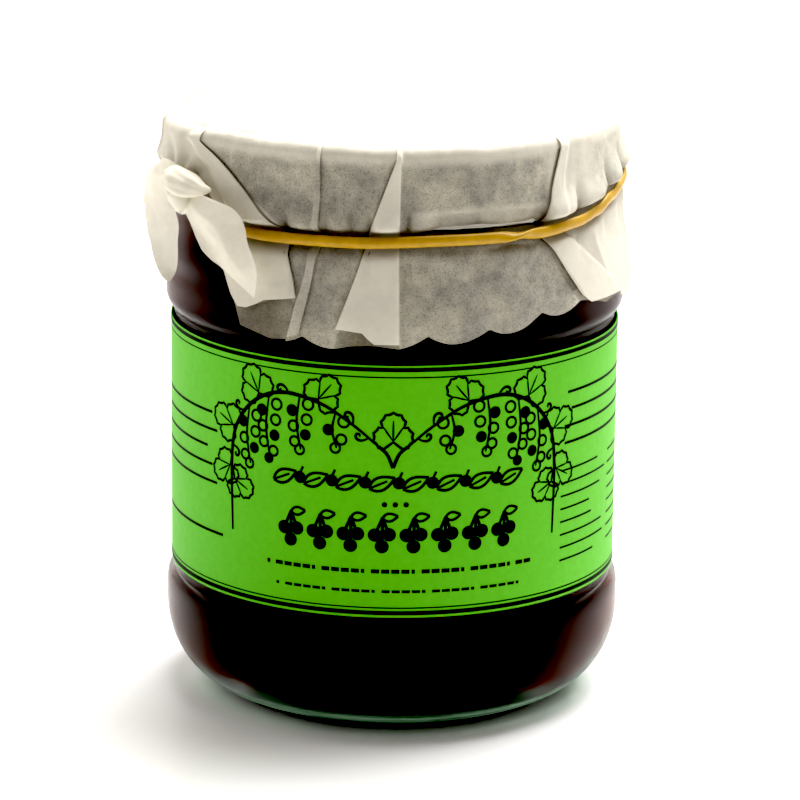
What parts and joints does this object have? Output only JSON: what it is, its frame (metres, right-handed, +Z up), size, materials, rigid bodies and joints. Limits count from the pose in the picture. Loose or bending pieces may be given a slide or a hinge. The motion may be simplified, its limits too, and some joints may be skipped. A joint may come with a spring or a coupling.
{
  "type": "jam jar with paper cover",
  "caption": "Round glass jar of dark fruit jam with a twist-off lid, a pleated paper cover tied at one side and held by a rubber band, and a wrap-round green label.",
  "frame": {"origin": "on the plane the jar stands on, under the middle of the whole object's box; the jar's axis is 1.5 mm beside it at +X", "axes": "+Z up along the jar's axis, -Y towards the front of the label, +X to the viewer's right"},
  "size_m": [0.0764, 0.0728, 0.0909],
  "materials": {
    "clear_glass": "clear moulded glass with a faint green tint in its thick base",
    "dark_jam": "near-black dark fruit jam with maroon edges, wet",
    "lacquered_steel": "lacquered tinplate twist-off lid, hidden by the paper",
    "liner_compound": "soft sealing compound",
    "green_paper": "bright green matte label paper printed in black",
    "tissue_paper": "thin off-white translucent paper, pleated and crumpled",
    "yellow_rubber": "ochre yellow elastic band"
  },
  "bodies": {
    "root": {"jar": "clear_glass", "jam": "dark_jam", "lid": "lacquered_steel", "lid_liner": "liner_compound", "label": "green_paper", "paper_cover": "tissue_paper", "rubber_band": "yellow_rubber"}
  },
  "joints": []
}
